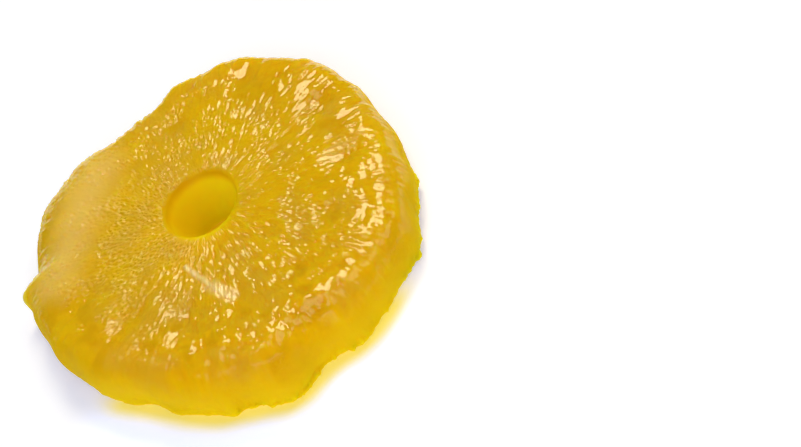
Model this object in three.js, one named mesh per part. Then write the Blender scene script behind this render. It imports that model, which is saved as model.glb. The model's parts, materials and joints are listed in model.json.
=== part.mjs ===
// A candied pineapple ring: one thick slice across the fruit, cored, with a wavy trimmed rim.
// Millimetres, +Z up. The slice lies on its back, so its cut face looks up and its underside is flat at Z 0.
// Its far side is at +Y. The origin is under the middle of the slice, at the bottom centre of its box.
import * as THREE from "three";
import { mergeVertices } from "three/addons/utils/BufferGeometryUtils.js";

// Driving dimensions of the slice, in millimetres.
const MEAN_RIM_RADIUS = 40;
const THICKNESS = 12;
const THICKNESS_WEDGE = 0.7; // thicker by this towards WEDGE_ANGLE, thinner by it on the other side
const WEDGE_ANGLE = 235;
const FRUIT_COLOUR = 0xd8a006;
const FRUIT_ROUGHNESS = 0.2; // wet with syrup

// The cored hole is off the middle. It narrows on its way down and leans, its lower end to the near side.
const HOLE_CENTRE = { x: 1.4, y: 4.8 };
const HOLE_LEAN = 2.6;
const HOLE_TOP_RADIUS = 7.7;
const HOLE_BOTTOM_RADIUS = 5.3;
const HOLE_OVAL = 0.35; // the hole's radius is this much more along HOLE_OVAL_ANGLE, and less across
const HOLE_OVAL_ANGLE = 75;

// The rim: each entry pushes it out, or in where push is negative, fading to nothing `reach` degrees away.
const RIM_SWELLS = [
  { at: 52, reach: 54, push: 4.4 },
  { at: 125, reach: 30, push: 1.6 },
  { at: 285, reach: 62, push: 1.4 },
  { at: 208, reach: 64, push: -3.2 },
  { at: 338, reach: 40, push: 0.9 },
  { at: 98, reach: 20, push: -2.1 },
  { at: 154, reach: 13, push: -1.8 },
];
// Lobes, notches and torn tags, smaller than the swells, and fading by TAG_FADE towards the top of the rim.
const TAG_FADE = 0.35;
const RIM_TAGS = [
  { at: 62, reach: 9, push: 1.2 },
  { at: 79, reach: 5, push: 1.4 },
  { at: 87, reach: 6, push: -1.2 },
  { at: 114, reach: 7, push: 0.9 },
  { at: 132, reach: 5, push: 0.8 },
  { at: 162, reach: 3.6, push: 2.6 },
  { at: 226, reach: 9, push: -1.6 },
  { at: 252, reach: 4, push: 1.2 },
  { at: 269, reach: 10, push: 2.4 },
  { at: 282, reach: 8, push: -1.2 },
  { at: 293, reach: 7, push: 1.6 },
  { at: 303, reach: 10, push: 0.9 },
  { at: 320, reach: 14, push: 1.5 },
];

// The cut face droops to the rim on the far left, within `reach` degrees of `at`, by up to `depth`.
// Elsewhere it droops by `least`. The droop starts at `from`, a share of the way from hole to rim.
const DROOP = { at: 138, reach: 62, depth: 3.6, least: 0.5, from: 0.68 };

// Smooth oval hollows where the fruitlets were cut across, long way along the fibres.
const FRUITLETS = [
  { at: 22, radius: 33, long: 6, wide: 4.2, depth: 0.9 },
  { at: 352, radius: 31, long: 6, wide: 4, depth: 0.8 },
  { at: 325, radius: 27, long: 5, wide: 3.4, depth: 0.7 },
  { at: 298, radius: 29, long: 7, wide: 4, depth: 0.9 },
  { at: 268, radius: 24, long: 6, wide: 3, depth: 0.7 },
  { at: 243, radius: 24, long: 6, wide: 4, depth: 0.8 },
  { at: 213, radius: 26, long: 8, wide: 5, depth: 0.9 },
  { at: 184, radius: 28, long: 8, wide: 5, depth: 0.7 },
  { at: 150, radius: 27, long: 7, wide: 5, depth: 0.6 },
  { at: 112, radius: 29, long: 6, wide: 4.5, depth: 0.6 },
  { at: 80, radius: 30, long: 6, wide: 4, depth: 0.6 },
  { at: 55, radius: 37, long: 5, wide: 4, depth: 0.9 },
];

// Low rolls of the cut face: waves round the ring, as { turns, phase, height }.
const FACE_ROLLS = [
  { turns: 3, phase: 40, height: 0.32 },
  { turns: 5, phase: 170, height: 0.22 },
  { turns: 11, phase: 75, height: 0.16 },
];
// Shallow flutes down the side, where the fruit's cells were trimmed.
const SIDE_FLUTES = { turns: 19, depth: 0.35 };

// How finely the section is divided: the stations on each stretch, and the steps round the ring.
const STEPS_ROUND = 144; // 2.5 degrees each
const STATIONS = { bottom: 3, lowerRim: 3, upperRim: 4, face: 16, holeTop: 2, holeWall: 3 };
const UNDER_EDGE = 0.05; // share of the width taken by the rounding under the rim
const UPPER_EDGE = 0.11; // and by the rounding over it
const RIM_BELLY = 0.42; // share of the height where the rim is widest
const MOUTH_WIDTH = 0.025; // share of the width taken by the rounding round the hole's mouth
const MOUTH_DEPTH = 0.12; // and the share of the height it takes

const radians = THREE.MathUtils.degToRad;

/** 1 at the middle, fading smoothly to 0 at 1 and beyond. */
function fade(distance) {
  const near = Math.max(0, 1 - distance * distance);
  return near * near;
}

/** Degrees from one direction to another, the short way round. */
function turnBetween(a, b) {
  return Math.abs(((a - b + 540) % 360) - 180);
}

/** How far the entries together push the rim out in one direction. */
function pushAt(angle, entries) {
  return entries.reduce((sum, e) => sum + e.push * fade(turnBetween(angle, e.at) / e.reach), 0);
}

function rimRadius(angle, height) {
  const fluted = SIDE_FLUTES.depth * Math.cos(radians(SIDE_FLUTES.turns * angle));
  // The flutes are deepest half way up.
  return (
    MEAN_RIM_RADIUS +
    pushAt(angle, RIM_SWELLS) +
    pushAt(angle, RIM_TAGS) * (1 - TAG_FADE * height) +
    fluted * Math.sin(Math.PI * height)
  );
}

function holeRadius(angle, height) {
  const oval = HOLE_OVAL * Math.cos(2 * radians(angle - HOLE_OVAL_ANGLE));
  return THREE.MathUtils.lerp(HOLE_BOTTOM_RADIUS, HOLE_TOP_RADIUS, height) + oval;
}

/** How far the cut face lies above or below its nominal plane at a point of the slice. */
function faceRelief(x, y) {
  const angle = THREE.MathUtils.radToDeg(Math.atan2(y, x));
  const radius = Math.hypot(x, y);
  const outward = THREE.MathUtils.smoothstep(radius, HOLE_TOP_RADIUS, MEAN_RIM_RADIUS);
  const rolls = FACE_ROLLS.reduce(
    (sum, r) => sum + r.height * outward * Math.sin(radians(r.turns * angle + r.phase)),
    0,
  );
  const hollows = FRUITLETS.reduce((sum, f) => {
    const c = Math.cos(radians(f.at));
    const s = Math.sin(radians(f.at));
    const along = (x * c + y * s - f.radius) / f.long;
    const across = (y * c - x * s) / f.wide;
    return sum + f.depth * fade(Math.hypot(along, across));
  }, 0);
  return rolls - hollows;
}

/** Height of the cut face over a point, share being 0 at the hole and 1 at the rim. */
function faceHeight(x, y, angle, share) {
  const wedge = THICKNESS_WEDGE * Math.cos(radians(angle - WEDGE_ANGLE)) * share;
  const depth = Math.max(DROOP.least, DROOP.depth * fade(turnBetween(angle, DROOP.at) / DROOP.reach));
  const droop = depth * THREE.MathUtils.smoothstep(share, DROOP.from, 1);
  return THICKNESS + wedge - droop + faceRelief(x, y);
}

/**
 * The section as closed stations of (1 + share of the width, share of the height). It runs from the foot
 * of the hole out under the slice, up the rim, in over the face and down the hole.
 */
function unitSection() {
  const stations = [];
  const put = (share, height) => stations.push(new THREE.Vector2(1 + share, height));
  const quarter = (steps, draw) => {
    for (let i = 1; i <= steps; i++) draw((Math.PI / 2) * (i / steps));
  };
  for (let i = 0; i <= STATIONS.bottom; i++) {
    put(THREE.MathUtils.lerp(0, 1 - UNDER_EDGE, i / STATIONS.bottom), 0);
  }
  quarter(STATIONS.lowerRim, (t) =>
    put(1 - UNDER_EDGE * (1 - Math.sin(t)), RIM_BELLY * (1 - Math.cos(t))),
  );
  quarter(STATIONS.upperRim, (t) =>
    put(1 - UPPER_EDGE * (1 - Math.cos(t)), RIM_BELLY + (1 - RIM_BELLY) * Math.sin(t)),
  );
  for (let i = 1; i <= STATIONS.face; i++) {
    put(THREE.MathUtils.lerp(1 - UPPER_EDGE, MOUTH_WIDTH, i / STATIONS.face), 1);
  }
  quarter(STATIONS.holeTop, (t) =>
    put(MOUTH_WIDTH * (1 - Math.sin(t)), 1 - MOUTH_DEPTH * (1 - Math.cos(t))),
  );
  for (let i = 1; i <= STATIONS.holeWall; i++) {
    put(0, (1 - MOUTH_DEPTH) * (1 - i / STATIONS.holeWall));
  }
  return stations; // the last station is the first, so the section closes on itself
}

/** Turns the unit ring into the slice: each vertex goes to its place between the hole and the rim. */
function shapeSlice(geometry) {
  const place = geometry.getAttribute("position");
  for (let i = 0; i < place.count; i++) {
    const flat = { x: place.getX(i), y: place.getY(i) };
    const share = Math.hypot(flat.x, flat.y) - 1;
    const height = place.getZ(i);
    const turn = Math.atan2(flat.y, flat.x);
    const angle = THREE.MathUtils.radToDeg(turn);
    const radius = THREE.MathUtils.lerp(holeRadius(angle, height), rimRadius(angle, height), share);
    const holeY = HOLE_CENTRE.y - HOLE_LEAN * (1 - height);
    const x = HOLE_CENTRE.x * (1 - share) + radius * Math.cos(turn);
    const y = holeY * (1 - share) + radius * Math.sin(turn);
    place.setXYZ(i, x, y, height * faceHeight(x, y, angle, share));
  }
}

/** Puts the bottom centre of the geometry's box at the origin. */
function standAtOrigin(geometry) {
  geometry.computeBoundingBox();
  const middle = geometry.boundingBox.getCenter(new THREE.Vector3());
  geometry.translate(-middle.x, -middle.y, -geometry.boundingBox.min.z);
}

function makeSlice() {
  const turned = new THREE.LatheGeometry(unitSection(), STEPS_ROUND).rotateX(Math.PI / 2);
  turned.deleteAttribute("normal");
  turned.deleteAttribute("uv");
  const closed = mergeVertices(turned);
  shapeSlice(closed);
  standAtOrigin(closed);
  closed.computeVertexNormals();
  const fruit = new THREE.MeshStandardMaterial({
    color: FRUIT_COLOUR,
    roughness: FRUIT_ROUGHNESS,
    metalness: 0,
  });
  const slice = new THREE.Mesh(closed, fruit);
  slice.name = "pineapple_slice";
  return slice;
}

const ring = new THREE.Group();
ring.name = "candied_pineapple_ring";
ring.add(makeSlice());

export default ring;
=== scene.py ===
"""A candied pineapple ring: one thick, syrupy slice with a cored hole, lying on a pale studio floor."""
import json
import math

import bpy
from bpy.props import FloatProperty, FloatVectorProperty, IntProperty, PointerProperty
from mathutils import Matrix, Vector


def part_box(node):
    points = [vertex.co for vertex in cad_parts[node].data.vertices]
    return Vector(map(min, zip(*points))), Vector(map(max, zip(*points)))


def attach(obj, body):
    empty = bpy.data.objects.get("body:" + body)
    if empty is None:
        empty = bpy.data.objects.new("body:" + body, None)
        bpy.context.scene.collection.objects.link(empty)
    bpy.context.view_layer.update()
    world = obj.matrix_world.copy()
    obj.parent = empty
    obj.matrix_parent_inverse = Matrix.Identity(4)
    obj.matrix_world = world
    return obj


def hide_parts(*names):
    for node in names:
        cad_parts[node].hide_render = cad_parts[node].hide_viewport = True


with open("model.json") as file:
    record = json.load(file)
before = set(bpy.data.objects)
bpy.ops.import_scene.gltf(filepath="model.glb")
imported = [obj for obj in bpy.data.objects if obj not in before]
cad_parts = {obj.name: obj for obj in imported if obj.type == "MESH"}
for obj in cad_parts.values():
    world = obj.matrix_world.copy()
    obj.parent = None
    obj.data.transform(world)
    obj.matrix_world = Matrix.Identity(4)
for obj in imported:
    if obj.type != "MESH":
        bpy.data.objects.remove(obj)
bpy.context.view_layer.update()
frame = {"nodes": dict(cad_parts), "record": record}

bl_info = {
    "name": "Candied Pineapple Ring",
    "version": (1, 0, 0),
    "blender": (4, 5, 0),
    "location": "3D View > Sidebar > Pineapple",
    "description": "Models a candied pineapple ring over its solid, with its syrup glaze and a studio",
    "category": "Add Mesh",
}

MM = 0.001
SOLID = "pineapple_slice"
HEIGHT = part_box(SOLID)[1].z
CORE_LOW, CORE_HIGH = (Vector(corner) for corner in frame["record"]["physics"]["openings"][0]["box_m"])
HOLE = (CORE_LOW + CORE_HIGH) / 2  # directions and distances on the slice are measured from here

# The plain ring, before it is carried onto the solid.
MIDDLE_RADIUS = 22.5 * MM  # from the hole's middle to the middle of the ring's section
HALF_WIDTH = 16 * MM
INNER, OUTER = MIDDLE_RADIUS - HALF_WIDTH, MIDDLE_RADIUS + HALF_WIDTH
HEART = 0.45  # share of the height at which the rays to the solid start

# Stretches of the ring, in degrees round the hole, 0 to the right and 90 to the far side: the middle of
# each, its half width, and how far beyond that it fades.
FRONT = (262, 42, 20)
FAR_RIGHT = (20, 82, 20)
NEAR_RIGHT = (-35, 80, 30)
LEFT = (190, 45, 30)
FAR_SIDE = (70, 50, 30)
DROOPING = (152, 42, 25)
COMBED = (28, 34, 14)
GLASSY = ((51, 3, 8), (25, 2, 7))
RAGGED = (300, 34, 16)
SHOULDER = (12, 50, 20)
CREASE = (267, 9, 7)
NIB = (163.5, 0.3, 2.4)
PAINTED_GLOW_FRONT = (275, 55, 30)
PAINTED_PAPER_GLOW_FRONT = (258, 42, 14)

SWELLS_PER_METRE = 220
SWELL_HEIGHT = 0.5 * MM
SHOULDER_HEIGHT = 0.1 * MM
BROW_HEIGHT = 0.8 * MM
CREASE_DEPTH = 0.2 * MM
NIB_LENGTH = 1.8 * MM

# Softboxes: name, azimuth and elevation in degrees, distance and size in metres, radiance, colour.
# Azimuth 0 is the far side and 90 the right.
WARM = (1, 0.93, 0.62)
SOFTBOXES = (
    ("key_softbox", 26, 51, 0.9, 0.33, 11.0, WARM),
    ("left_softbox", -42, 54, 0.9, 0.1, 11.0, WARM),
    ("top_softbox", 20, 84, 1.2, 0.5, 2.6, (1, 0.96, 0.8)),
    ("side_softbox", 85, 48, 0.9, 0.45, 2.5, WARM),
    ("front_softbox", 196, 28, 1.2, 1.2, 2.15, (0.96, 0.98, 1)),
)
FLOOR_RADIUS = 3.0
WORLD_STRENGTH = 0.05


class SliceSettings(bpy.types.PropertyGroup):
    """Sizes of the slice's surface."""

    steps_round: IntProperty(
        name="Steps Round", description="Divisions round the ring", default=760, min=48
    )
    face_steps: IntProperty(
        name="Face Steps", description="Divisions from hole to rim", default=84, min=8
    )
    side_steps: IntProperty(name="Side Steps", description="Divisions up the rim", default=12, min=3)
    hole_steps: IntProperty(name="Hole Steps", description="Divisions down the hole", default=6, min=2)
    under_steps: IntProperty(
        name="Under Steps", description="Divisions across the underside", default=8, min=2
    )
    rim_round: FloatProperty(
        name="Rim Rounding", description="Radius of the rim's upper edge", default=3.2 * MM, unit="LENGTH"
    )
    foot_round: FloatProperty(
        name="Foot Rounding", description="Radius of the rim's lower edge", default=1.6 * MM, unit="LENGTH"
    )
    mouth_round: FloatProperty(
        name="Mouth Rounding",
        description="Radius of the hole's upper edge",
        default=0.9 * MM,
        unit="LENGTH",
    )
    fibre_height: FloatProperty(
        name="Fibre Height", description="Height of the radial fibres", default=0.5 * MM, unit="LENGTH"
    )
    pebble_height: FloatProperty(
        name="Pebble Height",
        description="Height of the grain of cut cells",
        default=0.24 * MM,
        unit="LENGTH",
    )
    ripple_height: FloatProperty(
        name="Ripple Height", description="Height of the broad unevenness", default=0.55 * MM, unit="LENGTH"
    )
    puddle_height: FloatProperty(
        name="Puddle Height", description="Height of the smooth patches", default=0.45 * MM, unit="LENGTH"
    )
    fray_depth: FloatProperty(
        name="Fray Depth",
        description="How far torn fibres stand out of the rim",
        default=1.6 * MM,
        unit="LENGTH",
    )


class FleshSettings(bpy.types.PropertyGroup):
    """Colours of the candied flesh, with the painted shade, sheen and glow on it."""

    amber: FloatVectorProperty(
        name="Amber",
        description="Colour of the clear flesh",
        default=(0.745, 0.440, 0.002),
        subtype="COLOR",
    )
    # Also the colour of painted shade in the smooth hollows; it darkens the rim's side and the far rim too.
    deep: FloatVectorProperty(
        name="Deep",
        description="Colour of the clearest, darkest flesh",
        default=(0.57, 0.312, 0.001),
        subtype="COLOR",
    )
    # A painted glow: stands for light shining through the flesh onto the hole's wall and the rim's low
    # front.
    painted_flesh_glow: FloatVectorProperty(
        name="Glowing",
        description="Colour of the hole's lit wall",
        default=(0.99, 0.775, 0.008),
        subtype="COLOR",
    )
    # Also the colour of the painted sheen: a pale band across the far left that stands for a soft
    # reflection.
    cloudy_and_sheen: FloatVectorProperty(
        name="Hazy", description="Colour of the cloudy flesh", default=(0.80, 0.53, 0.12), subtype="COLOR"
    )
    fibrous: FloatVectorProperty(
        name="Fibrous",
        description="Colour of pale loose fibres",
        default=(0.82, 0.60, 0.25),
        subtype="COLOR",
    )
    depth: FloatProperty(
        name="Light Depth", description="How far light wanders in the flesh", default=16 * MM, unit="LENGTH"
    )


class StudioSettings(bpy.types.PropertyGroup):
    """Where the camera stands, and its lens."""

    elevation: FloatProperty(
        name="Elevation", description="Camera height as an angle", default=math.radians(45), subtype="ANGLE"
    )
    roll: FloatProperty(
        name="Roll", description="How far the camera is turned", default=math.radians(31), subtype="ANGLE"
    )
    distance: FloatProperty(
        name="Distance", description="From the camera to what it looks at", default=0.6, unit="LENGTH"
    )
    lens: FloatProperty(name="Lens", description="Focal length in millimetres", default=140.2)
    aside: FloatProperty(
        name="Aside",
        description="How far the ring stands left of the view's middle",
        default=35.1 * MM,
        unit="LENGTH",
    )
    below: FloatProperty(
        name="Below",
        description="How far the ring stands under the view's middle",
        default=2.4 * MM,
        unit="LENGTH",
    )


# ---------------------------------------------------------------------------------------------
# Node trees


class Num:
    """A number that varies over a surface. Sums on it add Math nodes to its tree."""

    def __init__(self, tree, socket):
        self.tree = tree
        self.socket = socket

    def math(self, operation, *others):
        """The result of a Math node on this number and others."""
        node = self.tree.nodes.new("ShaderNodeMath")
        node.operation = operation
        for socket, value in zip(node.inputs, (self, *others)):
            plug(self.tree, value, socket)
        return Num(self.tree, node.outputs[0])

    def __add__(self, other):
        return self.math("ADD", other)

    def __sub__(self, other):
        return self.math("SUBTRACT", other)

    def __mul__(self, other):
        return self.math("MULTIPLY", other)

    def __truediv__(self, other):
        return self.math("DIVIDE", other)

    def __rsub__(self, other):
        return self.math("MULTIPLY_ADD", -1.0, other)

    __radd__ = __add__
    __rmul__ = __mul__

    def magnitude(self):
        return self.math("ABSOLUTE")

    def at_least(self, other):
        return self.math("MAXIMUM", other)

    def at_most(self, other):
        return self.math("MINIMUM", other)

    def step(self, low, high):
        """0 up to low and 1 from high, or the other way round if low is the larger, smoothly."""
        node = self.tree.nodes.new("ShaderNodeMapRange")
        node.interpolation_type = "SMOOTHSTEP"
        low_end, high_end = min(low, high), max(low, high)
        plug(self.tree, self, node.inputs["Value"])
        node.inputs["From Min"].default_value = low_end
        node.inputs["From Max"].default_value = high_end
        node.inputs["To Min"].default_value = 0.0 if low < high else 1.0
        node.inputs["To Max"].default_value = 1.0 if low < high else 0.0
        return Num(self.tree, node.outputs["Result"])


def plug(tree, value, socket):
    """Links a socket or Num to a socket, or sets the socket to a plain value."""
    if isinstance(value, Num):
        value = value.socket
    if isinstance(value, bpy.types.NodeSocket):
        tree.links.new(value, socket)
    else:
        socket.default_value = value


def add(tree, kind, inputs=None, **settings):
    """A node with its settings and inputs."""
    node = tree.nodes.new(kind)
    for name, value in settings.items():
        setattr(node, name, value)
    for name, value in (inputs or {}).items():
        plug(tree, value, node.inputs[name])
    return node


def vector(tree, x, y, z):
    """A place or direction from three numbers."""
    return add(tree, "ShaderNodeCombineXYZ", {"X": x, "Y": y, "Z": z}).outputs[0]


def noise(tree, place, scale=1.0, detail=1.0, roughness=0.5):
    """Noise from 0 to 1, about 0.5."""
    node = add(
        tree,
        "ShaderNodeTexNoise",
        {"Vector": place, "Scale": scale, "Detail": detail, "Roughness": roughness},
    )
    return Num(tree, node.outputs[0])


def cells(tree, place):
    """Distance to the nearest cell's middle, in rounded cells."""
    node = add(
        tree, "ShaderNodeTexVoronoi", {"Vector": place, "Scale": 1.0, "Smoothness": 0.4}, feature="SMOOTH_F1"
    )
    return Num(tree, node.outputs["Distance"])


# ---------------------------------------------------------------------------------------------
# The slice


def deselect_all():
    """Leaves edit mode and selects nothing."""
    if bpy.context.object and bpy.context.object.mode != "OBJECT":
        bpy.ops.object.mode_set(mode="OBJECT")
    bpy.ops.object.select_all(action="DESELECT")


def select_where(obj, test, kind="edges"):
    """In edit mode, selects only the vertices or edges whose every corner passes the test."""
    bpy.ops.mesh.select_mode(type="VERT" if kind == "vertices" else "EDGE")
    bpy.ops.mesh.select_all(action="DESELECT")
    bpy.ops.object.mode_set(mode="OBJECT")
    mesh = obj.data
    for part in getattr(mesh, kind):
        corners = [part] if kind == "vertices" else [mesh.vertices[i] for i in part.vertices]
        part.select = all(test(corner.co) for corner in corners)
    if not any(part.select for part in getattr(mesh, kind)):
        raise RuntimeError(f"{obj.name} has no {kind} where they were looked for")
    bpy.ops.object.mode_set(mode="EDIT")


def spin_plain_ring(settings):
    """A plain ring with rounded edges: its section is drawn upright, divided and turned about the hole."""
    deselect_all()
    bpy.ops.mesh.primitive_plane_add(size=1, location=(0, 0, 0), rotation=(math.pi / 2, 0, 0))
    ring = bpy.context.object
    ring.name = ring.data.name = "candied_ring"
    bpy.ops.object.transform_apply(location=True, rotation=True, scale=True)
    bpy.ops.object.mode_set(mode="EDIT")
    bpy.ops.mesh.select_all(action="SELECT")
    bpy.ops.transform.resize(value=(OUTER - INNER, 1, HEIGHT))
    bpy.ops.transform.translate(value=(MIDDLE_RADIUS, 0, HEIGHT / 2))
    near = 0.01 * MM
    for at_x, at_z, radius, segments in (
        (OUTER, HEIGHT, settings.rim_round, 8),
        (OUTER, 0, settings.foot_round, 4),
        (INNER, HEIGHT, settings.mouth_round, 5),
    ):
        select_where(ring, lambda co: abs(co.x - at_x) < near and abs(co.z - at_z) < near, "vertices")
        bpy.ops.mesh.bevel(offset=radius, segments=segments, affect="VERTICES")
    for on_edge, cuts in (
        (lambda co: abs(co.z - HEIGHT) < near, settings.face_steps),
        (lambda co: abs(co.z) < near, settings.under_steps),
        (lambda co: abs(co.x - OUTER) < near, settings.side_steps),
        (lambda co: abs(co.x - INNER) < near, settings.hole_steps),
    ):
        select_where(ring, on_edge)
        bpy.ops.mesh.subdivide(number_cuts=cuts)
    bpy.ops.mesh.select_mode(type="FACE")
    bpy.ops.mesh.select_all(action="SELECT")
    bpy.ops.mesh.delete(type="ONLY_FACE")
    bpy.ops.object.mode_set(mode="OBJECT")
    turn = ring.modifiers.new("turn about the hole", "SCREW")
    turn.axis = "Z"
    turn.angle = 2 * math.pi
    turn.steps = turn.render_steps = settings.steps_round
    turn.use_merge_vertices = True
    turn.merge_threshold = near
    bpy.ops.object.modifier_apply(modifier=turn.name)
    bpy.ops.object.mode_set(mode="EDIT")
    bpy.ops.mesh.select_mode(type="VERT")
    bpy.ops.mesh.select_all(action="SELECT")
    bpy.ops.mesh.normals_make_consistent(inside=False)
    bpy.ops.transform.translate(value=(HOLE.x, HOLE.y, 0))
    bpy.ops.object.mode_set(mode="OBJECT")
    return ring


def geometry_tree(name):
    """A geometry tree, the socket where the mesh comes in and the one where it goes out."""
    tree = bpy.data.node_groups.new(name, "GeometryNodeTree")
    tree.interface.new_socket("Geometry", in_out="INPUT", socket_type="NodeSocketGeometry")
    tree.interface.new_socket("Geometry", in_out="OUTPUT", socket_type="NodeSocketGeometry")
    start = tree.nodes.new("NodeGroupInput")
    end = tree.nodes.new("NodeGroupOutput")
    return tree, start.outputs[0], end.inputs[0]


def keep_number(tree, geometry, name, value):
    """Stores a number on the mesh's points under a name."""
    node = add(
        tree,
        "GeometryNodeStoreNamedAttribute",
        {"Geometry": geometry, "Name": name, "Value": value},
        data_type="FLOAT",
        domain="POINT",
    )
    return node.outputs["Geometry"]


def read_number(tree, name):
    """A number stored on the mesh's points."""
    node = add(tree, "GeometryNodeInputNamedAttribute", {"Name": name}, data_type="FLOAT")
    return Num(tree, node.outputs["Attribute"])


def about_hole(tree, place):
    """A place as numbers: x, y, z, its distance from the hole's middle, and its direction there."""
    split = add(tree, "ShaderNodeSeparateXYZ", {"Vector": place})
    x, y, z = (Num(tree, socket) for socket in split.outputs)
    along, across = x - HOLE.x, y - HOLE.y
    radius = (along * along + across * across).math("SQRT")
    return x, y, z, radius, along / radius, across / radius


def within(cos, sin, stretch):
    """1 on a stretch of the ring, fading to 0 beyond its ends."""
    middle, half_width, fade = (math.radians(angle) for angle in stretch)
    nearness = cos * math.cos(middle) + sin * math.sin(middle)
    return nearness.step(math.cos(half_width + fade), math.cos(half_width))


def stroke(x, y, start, end, width):
    """1 on the line between two places, fading to 0 at a width to either side of it."""
    dx, dy = end[0] - start[0], end[1] - start[1]
    length = dx * dx + dy * dy
    along = ((x - start[0]) * dx + (y - start[1]) * dy) / length
    along = along.at_most(1.0).at_least(0.0)
    off_x, off_y = x - start[0] - along * dx, y - start[1] - along * dy
    distance = (off_x * off_x + off_y * off_y).math("SQRT")
    return (distance / width).step(1, 0)


def fit_to_solid_tree():
    """Carries the plain ring out from the middle of its section onto the solid's surface."""
    tree, geometry, end = geometry_tree("Fit to Solid")
    solid = add(tree, "GeometryNodeObjectInfo", {"Object": frame["nodes"][SOLID]}).outputs["Geometry"]
    _, _, z, radius, cos, sin = about_hole(tree, add(tree, "GeometryNodeInputPosition").outputs[0])
    share = (radius - INNER) / (OUTER - INNER)
    rise = z / HEIGHT

    def at(distance, height):
        return vector(tree, cos * distance + HOLE.x, sin * distance + HOLE.y, height)

    def cast(source, direction, output):
        ray = add(
            tree,
            "GeometryNodeRaycast",
            {
                "Target Geometry": solid,
                "Source Position": source,
                "Ray Direction": direction,
                "Ray Length": 0.1,
            },
        )
        return ray.outputs[output]

    heart = at(MIDDLE_RADIUS, HEIGHT * HEART)
    rim = Num(tree, cast(heart, vector(tree, cos, sin, 0.0), "Hit Distance")) + MIDDLE_RADIUS
    hole = MIDDLE_RADIUS - Num(tree, cast(heart, vector(tree, cos * -1, sin * -1, 0.0), "Hit Distance"))
    spread = hole + (rim - hole) * share
    target = at(spread, z)
    source = at((hole + rim) * 0.5, HEIGHT * HEART)
    away = add(tree, "ShaderNodeVectorMath", {0: target, 1: source}, operation="SUBTRACT").outputs[0]
    landed = cast(source, away, "Hit Position")
    for name, value in (("share", share), ("rise", rise)):
        geometry = keep_number(tree, geometry, name, value)
    moved = add(tree, "GeometryNodeSetPosition", {"Geometry": geometry, "Position": landed})
    # The solid's facets are eased away on the outer part of the face and on the rim.
    place = add(tree, "GeometryNodeInputPosition").outputs[0]
    facets = share.step(0.3, 0.5) * rise.step(0.1, 0.25)
    eased = add(
        tree,
        "GeometryNodeBlurAttribute",
        {"Value": place, "Iterations": 10, "Weight": facets},
        data_type="FLOAT_VECTOR",
    )
    smooth = add(
        tree,
        "GeometryNodeSetPosition",
        {"Geometry": moved.outputs[0], "Position": eased.outputs[0]},
    )
    tree.links.new(smooth.outputs[0], end)
    return tree


class Spot:
    """A point of the slice in a geometry tree: its place about the hole, and the way it faces."""

    def __init__(self, tree):
        self.tree = tree
        self.place = add(tree, "GeometryNodeInputPosition").outputs[0]
        self.x, self.y, self.z, self.radius, self.cos, self.sin = about_hole(tree, self.place)
        self.share = read_number(tree, "share")
        self.rise = read_number(tree, "rise")
        self.normal = add(tree, "GeometryNodeInputNormal").outputs[0]
        self.upward = Num(tree, add(tree, "ShaderNodeSeparateXYZ", {"Vector": self.normal}).outputs["Z"])

    def within(self, stretch):
        """1 on a stretch of the ring, fading to 0 beyond its ends."""
        return within(self.cos, self.sin, stretch)

    def noise(self, size, detail=1.0, roughness=0.5):
        """Noise with lumps about as large as a size, the same in every direction."""
        return noise(self.tree, self.place, 1 / size, detail, roughness)

    def by_fibres(self, turns, length):
        """A place for patterns that run with the fibres: finer round the ring with turns, and so long."""
        return vector(self.tree, self.cos * turns, self.sin * turns, self.radius / length)

    def by_rim(self, turns, height):
        """A place for patterns on the rim: finer round it with turns, and so high."""
        return vector(self.tree, self.cos * turns, self.sin * turns, self.z / height)


def painted_sheen_band(spot):
    """1 on the band across the far left where a pale sheen is painted into the colour."""
    wander = (spot.noise(2.5 * MM, 2) - 0.5) * 3 * MM
    return stroke(
        spot.x + wander, spot.y + wander, start=(-31 * MM, 8 * MM), end=(-14 * MM, 29 * MM), width=9 * MM
    )


def calm_patches(spot, haze):
    """Near 1 where syrup fills the texture: wandering patches, the band of painted sheen and two glassy
    streaks.
    """
    calm = spot.noise(6.5 * MM).step(0.54, 0.66) * spot.share.step(0.4, 0.65)
    calm = calm.at_least(haze * 0.25)
    glassy = spot.within(GLASSY[0]) + spot.within(GLASSY[1])
    return calm.at_least(glassy * spot.share.step(0.5, 0.65) * 0.8)


def face_texture(spot, calm, settings):
    """Height of the cut face: broad ripples, smooth puddles, combed fibres and the grain of cut cells."""
    tree, share = spot.tree, spot.share
    front, near_right, left = spot.within(FRONT), spot.within(NEAR_RIGHT), spot.within(LEFT)
    near_hole, rim_edge = share.step(0.6, 0.1), share.step(0.7, 0.88)

    ripple = spot.noise(7 * MM, 1.5, 0.45) - 0.5
    puddles = noise(tree, spot.by_fibres(10, 3.6 * MM), 1, 1.5) - 0.5
    puddling = 0.55 + near_right * 0.75 + front * 1.3 + rim_edge * near_right
    relief = ripple * settings.ripple_height + puddles * puddling * settings.puddle_height

    strands = 0.18 - (noise(tree, spot.by_fibres(20, 9 * MM), 1, 1.5) - 0.5).magnitude()
    combing = spot.within(COMBED).at_least(front * 0.9) + 0.5
    relief = relief + strands * share.step(0.25, 0.6) * combing * settings.fibre_height

    pebbles = 0.5 - cells(tree, spot.by_fibres(26, 1.0 * MM))
    grain = noise(tree, spot.by_fibres(46, 1.2 * MM)) - 0.5
    grain = pebbles * share.step(0.85, 0.35) * 0.3 + grain * (1 - near_hole * 0.5 - left * 0.35)
    crinkle = spot.noise(0.55 * MM) - 0.5
    fine = grain * (spot.radius / MIDDLE_RADIUS) + crinkle * (0.7 + near_hole * 0.5 + left * 0.5)
    fine = fine * (0.4 + spot.noise(5 * MM, 1.5).step(0.36, 0.6) * 0.8)
    strength = 2.3 - near_right * 0.95 + spot.within(DROOPING) * 0.9
    return relief + fine * (1 - calm * 0.9) * strength * settings.pebble_height


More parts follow.
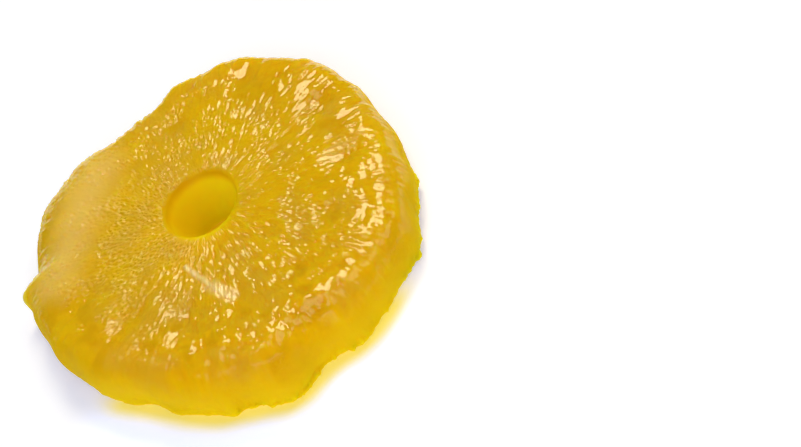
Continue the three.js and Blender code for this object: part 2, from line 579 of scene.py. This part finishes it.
def loose_strand(spot):
    """The loose pale fibre in front of the hole: 1 on it and on the tuft at its end, and its streaks."""
    tree, x, y = spot.tree, spot.x, spot.y
    wander = (spot.noise(1.2 * MM, 2) - 0.5) * 1.2 * MM
    fibre = stroke(
        x + wander, y - wander, start=(-7.8 * MM, -8.8 * MM), end=(-3.6 * MM, -21 * MM), width=0.9 * MM
    )
    tuft = stroke(
        x + wander, y - wander, start=(-5 * MM, -17 * MM), end=(-2.6 * MM, -22 * MM), width=2.2 * MM
    )
    slanting = vector(tree, (x - y * 0.4) / (0.5 * MM), (y + x * 0.4) / (4 * MM), 0.0)
    return fibre.at_least(tuft * 0.8), noise(tree, slanting) - 0.5


def rim_form(spot, side):
    """Height of the rim's broad swells, its raised shoulder and brow, and the crease in front."""
    share, rise = spot.share, spot.rise
    swell = noise(spot.tree, spot.place, SWELLS_PER_METRE) - 0.5
    shoulder = share.step(0.84, 0.95) * rise.step(0.55, 0.85) * spot.within(SHOULDER)
    brow = share.step(0.5, 0.88) * rise.step(0.25, 0.85) * spot.within(FRONT)
    crease = spot.within(CREASE) * rise.step(0.04, 0.12) * rise.step(0.26, 0.16) * side
    raised = swell * side * SWELL_HEIGHT + shoulder * SHOULDER_HEIGHT + brow * BROW_HEIGHT
    return raised - crease * CREASE_DEPTH


def torn_rim(spot, nib, settings):
    """How far the torn fibres of the low edge and the point on the left stand out sideways."""
    torn = noise(spot.tree, spot.by_rim(50, 1.6 * MM), 1, 2, 0.65)
    tags = noise(spot.tree, spot.by_rim(17, 4 * MM), 1, 2, 0.6).step(0.52, 0.7)
    ragged = spot.within(RAGGED) * 0.8 + 0.2
    low_edge = spot.rise.step(0.45, 0.1) * spot.share.step(0.9, 1.0)
    frayed = (torn * 0.8 - 0.34 + tags * 0.6) * low_edge * ragged
    return frayed * settings.fray_depth + nib * NIB_LENGTH


def relief_tree(settings):
    """Raises the texture on the slice and tears its rim, and marks the places that the material needs."""
    tree, geometry, end = geometry_tree("Fruit Relief")
    spot = Spot(tree)
    share, rise, upward = spot.share, spot.rise, spot.upward
    far_right = spot.within(FAR_RIGHT)
    # On the far right and in front the cut face's texture runs on over the rim's edge.
    rolling = far_right.at_least(spot.within(FRONT) * 0.85)
    face = upward.step(0.2, 0.8)
    face = face + (upward.step(0.0, 0.45) - face) * rolling
    under = upward.step(-0.3, -0.9)
    side = (1 - face) * (1 - under)
    beyond_mouth = share.step(0.0, 0.015)

    # Painted sheen: the band across the far left is paled in the material, and it also calms the texture
    # here.
    haze = painted_sheen_band(spot)
    calm = calm_patches(spot, haze)
    strand, streaks = loose_strand(spot)
    relief = face_texture(spot, calm, settings) * (1 - strand * 0.5)
    relief = relief + strand * (streaks * 0.8 + 0.22) * MM
    relief = relief * face * beyond_mouth + rim_form(spot, side)
    offset = add(tree, "ShaderNodeVectorMath", {0: spot.normal, "Scale": relief}, operation="SCALE")
    nib = spot.within(NIB) * rise.step(0.1, 0.45) * rise.step(0.85, 0.5) * share.step(0.9, 1.0)
    outward = torn_rim(spot, nib, settings)
    push = vector(tree, spot.cos * outward, spot.sin * outward, 0.0)
    for move in (offset.outputs[0], push):
        moved = add(tree, "GeometryNodeSetPosition", {"Geometry": geometry, "Offset": move})
        geometry = moved.outputs[0]

    wet = upward.step(0.62, 0.86)
    wet = wet + (upward.step(0.2, 0.6) - wet) * far_right
    far_edge = share.step(0.6, 0.95) * spot.within(FAR_SIDE)
    marks = {
        "rough": face * beyond_mouth * (1 - calm * 0.9),
        "wet": wet * beyond_mouth * (1 - haze * 0.5),
        "haze": haze * face,
        "strand": strand * face,
        "nib": nib * nib * 0.6,
        # Painted shade in the smooth hollows; darker also on the rim's side and toward the far rim.
        "deep": (calm * face * 0.5).at_least(side * 0.25).at_least(far_edge * 0.45),
    }
    for name, value in marks.items():
        geometry = keep_number(tree, geometry, name, value)
    tree.links.new(geometry, end)
    return tree


def apply_nodes(obj, tree):
    """Runs a geometry tree on a piece and keeps what it makes."""
    modifier = obj.modifiers.new(tree.name, "NODES")
    modifier.node_group = tree
    bpy.context.view_layer.objects.active = obj
    bpy.ops.object.modifier_apply(modifier=modifier.name)
    if not obj.data.polygons:
        raise RuntimeError(f"{tree.name} left nothing of {obj.name}")


def marked(tree, name):
    """One of the slice's own attributes, in a material."""
    return Num(tree, add(tree, "ShaderNodeAttribute", attribute_name=name).outputs["Fac"])


def mix_colour(tree, factor, first, second):
    """The first colour where the factor is 0, the second where it is 1. Either may be a socket."""
    first, second = (
        value if isinstance(value, bpy.types.NodeSocket) else (*value, 1) for value in (first, second)
    )
    node = add(tree, "ShaderNodeMix", {"Factor": factor, "A": first, "B": second}, data_type="RGBA")
    return node.outputs["Result"]


def flesh_material(settings):
    """Clear amber flesh, cloudy in places, under a coat of syrup, with painted shade, a painted sheen and a
    painted glow.
    """
    material = bpy.data.materials.new("candied_flesh")
    material.use_nodes = True
    tree = material.node_tree
    shader = tree.nodes["Principled BSDF"]
    place = add(tree, "ShaderNodeTexCoord").outputs["Object"]
    _, _, _, radius, cos, sin = about_hole(tree, place)
    share, rise, rough = (marked(tree, name) for name in ("share", "rise", "rough"))

    hole_wall = share.step(0.03, 0.0) * rise.step(0.94, 0.75)
    # Painted light: the hole's wall glows yellow, brighter on the right, and the rim's low front a little.
    painted_wall_glow = hole_wall * (cos * 0.25 + 0.75)
    painted_front_glow = rise.step(0.7, 0.2) * share.step(0.8, 0.95) * within(cos, sin, PAINTED_GLOW_FRONT)
    # Darker in random patches of clear flesh, with painted shade in the smooth hollows.
    depths = noise(tree, place, 1 / (9 * MM), 2).step(0.35, 0.68)
    deep = (depths * 0.5).at_least(marked(tree, "deep")) * (1 - hole_wall)
    clouds = noise(tree, place, 1 / (9 * MM), 3).step(0.42, 0.68)
    colour = mix_colour(tree, deep, settings.amber, settings.deep)
    colour = mix_colour(tree, painted_wall_glow.at_least(painted_front_glow * 0.12), colour, settings.painted_flesh_glow)
    colour = mix_colour(tree, clouds * 0.12 * rough, colour, settings.cloudy_and_sheen)
    # Painted sheen: the band across the far left is paled toward the cloudy colour.
    colour = mix_colour(tree, marked(tree, "haze") * 0.85, colour, settings.cloudy_and_sheen)
    loose_fibre = marked(tree, "strand").at_least(marked(tree, "nib"))
    colour = mix_colour(tree, loose_fibre, colour, settings.fibrous)
    plug(tree, colour, shader.inputs["Base Color"])

    speck = noise(tree, place, 1 / (0.7 * MM), 1, 0.6)
    dry = (1 - rough) * share.step(0.5, 0.9)
    wet_specks = speck.step(0.55, 0.68) * dry * 0.18
    plug(tree, (marked(tree, "wet") * 0.67 + 0.03).at_least(wet_specks), shader.inputs["Coat Weight"])
    fibres = noise(tree, vector(tree, cos * 60, sin * 60, radius / (0.6 * MM)), detail=0)
    bump = add(
        tree, "ShaderNodeBump", {"Height": fibres * rough + speck * dry * 2.5, "Distance": 0.05 * MM}
    )
    plug(tree, bump.outputs[0], shader.inputs["Normal"])

    shader.inputs["Subsurface Weight"].default_value = 1.0
    shader.inputs["Subsurface Radius"].default_value = (1.0, 0.6, 0.06)
    shader.inputs["Subsurface Scale"].default_value = settings.depth
    shader.inputs["Roughness"].default_value = 0.05
    shader.inputs["IOR"].default_value = 1.47
    shader.inputs["Specular IOR Level"].default_value = 0.0  # the coat alone gives the gloss
    shader.inputs["Coat Roughness"].default_value = 0.035
    shader.inputs["Coat IOR"].default_value = 1.5
    return material


class MESH_OT_candied_slice(bpy.types.Operator):
    """Model the candied slice over its solid"""

    bl_idname = "mesh.candied_slice"
    bl_label = "Candied Slice"

    def execute(self, context):
        scene = context.scene
        ring = spin_plain_ring(scene.pineapple_slice)
        apply_nodes(ring, fit_to_solid_tree())
        apply_nodes(ring, relief_tree(scene.pineapple_slice))
        bpy.ops.object.shade_smooth()
        ring.data.materials.append(flesh_material(scene.pineapple_flesh))
        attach(ring, "root")
        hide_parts(SOLID)
        return {"FINISHED"}


# ---------------------------------------------------------------------------------------------
# The studio


def add_softbox(target, name, azimuth, elevation, distance, size, radiance, colour):
    """A square softbox of a given radiance, facing the target."""
    turn, tilt = math.radians(azimuth), math.radians(elevation)
    direction = Vector((math.sin(turn) * math.cos(tilt), math.cos(turn) * math.cos(tilt), math.sin(tilt)))
    deselect_all()
    bpy.ops.object.light_add(type="AREA", location=target + direction * distance)
    lamp = bpy.context.object
    lamp.name = name
    lamp.data.shape = "SQUARE"
    lamp.data.size = size
    lamp.data.energy = radiance * math.pi * size * size
    lamp.data.color = colour
    lamp.rotation_euler = direction.to_track_quat("Z", "Y").to_euler()


def paper_material():
    """White paper, with the yellow light that the fruit lets through painted into its colour and glow."""
    material = bpy.data.materials.new("white_paper")
    material.use_nodes = True
    tree = material.node_tree
    shader = tree.nodes["Principled BSDF"]
    place = add(tree, "ShaderNodeTexCoord").outputs["Object"]
    _, _, _, radius, cos, sin = about_hole(tree, place)
    open_sky = add(tree, "ShaderNodeAmbientOcclusion", {"Distance": 4.8 * MM}, samples=12).outputs["AO"]
    front = within(cos, sin, PAINTED_PAPER_GLOW_FRONT)
    painted_glow_under_front = Num(tree, open_sky).step(1.0, 0.5) * front
    in_hole = radius.step(9 * MM, 7 * MM)
    # Painted light: yellow near the ring's front and amber in the hole stand for light that the fruit lets
    # through, in colour and in glow.
    painted_paper_glow = (0.80, 0.71, 0.15)
    for socket, white, amber in (
        ("Base Color", (0.93, 0.92, 0.94), (0.9, 0.66, 0.01)),
        ("Emission Color", (0.65, 0.85, 1.5), (0.95, 0.68, 0.01)),
    ):
        colour = mix_colour(tree, painted_glow_under_front.at_least(in_hole), white, painted_paper_glow)
        plug(tree, mix_colour(tree, in_hole, colour, amber), shader.inputs[socket])
    # Painted light: the paper glows more in front of the ring and less in the hole.
    plug(tree, 0.27 + front * 0.22 - in_hole * 0.12, shader.inputs["Emission Strength"])
    shader.inputs["Roughness"].default_value = 0.8
    shader.inputs["Specular IOR Level"].default_value = 0.1
    return material


class SCENE_OT_pineapple_studio(bpy.types.Operator):
    """Set up the pale floor, the soft lights and the camera"""

    bl_idname = "scene.pineapple_studio"
    bl_label = "Pineapple Studio"

    def execute(self, context):
        studio = context.scene.pineapple_studio
        deselect_all()
        bpy.ops.mesh.primitive_circle_add(
            vertices=96, radius=FLOOR_RADIUS, fill_type="NGON", location=(0, 0, 0)
        )
        floor = context.object
        floor.name = floor.data.name = "floor"
        floor.data.materials.append(paper_material())

        target = Vector((0, 0, HEIGHT / 2))
        for softbox in SOFTBOXES:
            add_softbox(target, *softbox)

        world = bpy.data.worlds.new("studio")
        world.use_nodes = True
        background = world.node_tree.nodes["Background"]
        background.inputs["Color"].default_value = (1, 1, 1, 1)
        background.inputs["Strength"].default_value = WORLD_STRENGTH
        context.scene.world = world
        context.scene.view_settings.view_transform = "Standard"

        back = Vector((0, -math.cos(studio.elevation), math.sin(studio.elevation)))
        rise = Vector((0, math.sin(studio.elevation), math.cos(studio.elevation)))
        right = Vector((1, 0, 0)) * math.cos(studio.roll) - rise * math.sin(studio.roll)
        up = Vector((1, 0, 0)) * math.sin(studio.roll) + rise * math.cos(studio.roll)
        aim = target + right * studio.aside + up * studio.below
        turn = Matrix((right, up, back)).transposed()
        bpy.ops.object.camera_add(location=aim + back * studio.distance, rotation=turn.to_euler())
        camera = context.object
        camera.data.lens = studio.lens
        camera.data.clip_end = 20
        context.scene.camera = camera
        return {"FINISHED"}


class VIEW3D_PT_pineapple(bpy.types.Panel):
    """The ring's settings, and the steps that make it"""

    bl_label = "Candied Pineapple Ring"
    bl_space_type = "VIEW_3D"
    bl_region_type = "UI"
    bl_category = "Pineapple"

    def draw(self, context):
        scene = context.scene
        for settings in (scene.pineapple_slice, scene.pineapple_flesh, scene.pineapple_studio):
            for name in settings.__annotations__:
                self.layout.prop(settings, name)
        self.layout.operator(MESH_OT_candied_slice.bl_idname)
        self.layout.operator(SCENE_OT_pineapple_studio.bl_idname)


CLASSES = (
    SliceSettings,
    FleshSettings,
    StudioSettings,
    MESH_OT_candied_slice,
    SCENE_OT_pineapple_studio,
    VIEW3D_PT_pineapple,
)


def register():
    for cls in CLASSES:
        bpy.utils.register_class(cls)
    bpy.types.Scene.pineapple_slice = PointerProperty(type=SliceSettings)
    bpy.types.Scene.pineapple_flesh = PointerProperty(type=FleshSettings)
    bpy.types.Scene.pineapple_studio = PointerProperty(type=StudioSettings)


def unregister():
    del bpy.types.Scene.pineapple_studio
    del bpy.types.Scene.pineapple_flesh
    del bpy.types.Scene.pineapple_slice
    for cls in reversed(CLASSES):
        bpy.utils.unregister_class(cls)


def main():
    register()
    bpy.ops.scene.pineapple_studio()
    bpy.ops.mesh.candied_slice()


if __name__ == "__main__":
    main()
